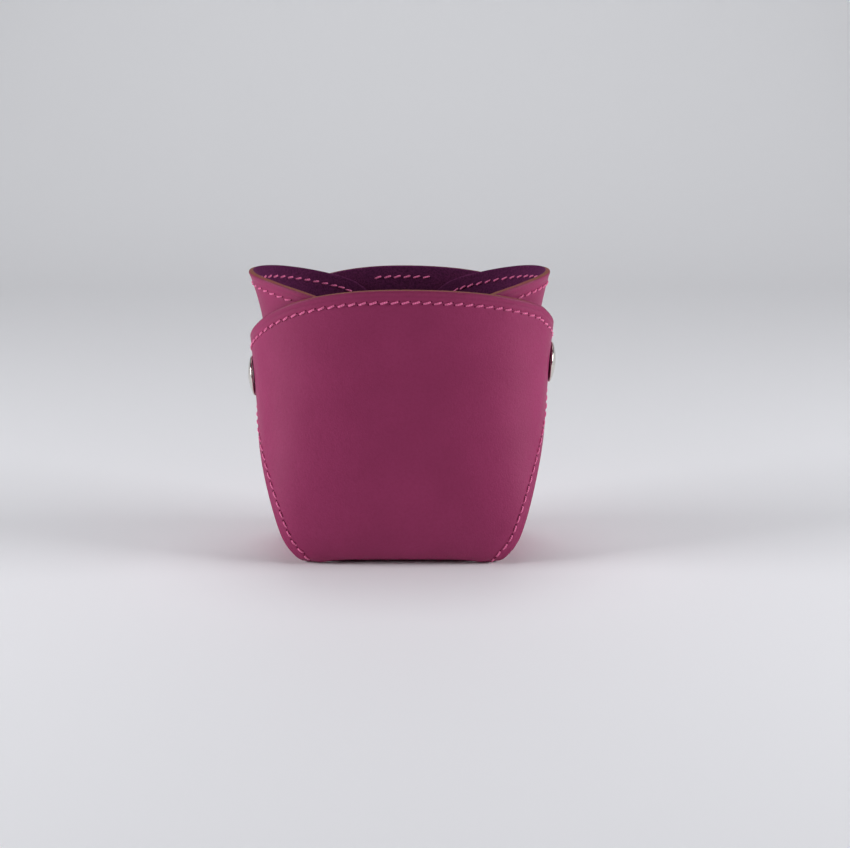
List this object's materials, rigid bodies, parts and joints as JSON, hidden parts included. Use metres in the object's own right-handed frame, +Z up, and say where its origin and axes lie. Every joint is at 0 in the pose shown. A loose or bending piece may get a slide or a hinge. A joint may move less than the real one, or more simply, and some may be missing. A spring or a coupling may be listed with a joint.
{
  "type": "pencil cup",
  "caption": "Leather desk cup folded from a cross-shaped hide, saddle stitched along its edges, with front flap wings that snap onto the back flap by a domed press stud on each side.",
  "frame": {"origin": "middle of the footprint, on the table", "axes": "+X to the right and through the press studs, +Y to the back, +Z up"},
  "size_m": [0.0972, 0.0626, 0.0888],
  "materials": {
    "hide": "smooth, semi-matt",
    "thread": "waxed thread",
    "nickel": "polished nickel",
    "steel": "nickel plated"
  },
  "bodies": {
    "cup": {"base_panel": "hide", "left_panel": "hide", "right_panel": "hide", "back_panel": "hide", "front_panel": "hide", "front_stitching": "thread", "back_stitching": "thread", "left_stitching": "thread", "right_stitching": "thread", "left_stud": "steel", "left_post": "steel", "right_stud": "steel", "right_post": "steel"},
    "left_wing": {"left_wing": "hide", "left_wing_stitching": "thread", "left_cap": "nickel", "left_socket": "steel", "left_spring": "steel"},
    "right_wing": {"right_wing": "hide", "right_wing_stitching": "thread", "right_cap": "nickel", "right_socket": "steel", "right_spring": "steel"}
  },
  "joints": [
    {"name": "left_wing_peel", "type": "hinge", "parent": "cup", "child": "left_wing", "pos_m": [-0.04233, -0.01546, 0.051], "axis": [0.0013, 0.0013, 1], "range_deg": [0, 40]},
    {"name": "right_wing_peel", "type": "hinge", "parent": "cup", "child": "right_wing", "pos_m": [0.04242, -0.01555, 0.055], "axis": [-0.0078, 0.0078, -0.9999], "range_deg": [0, 40]}
  ]
}
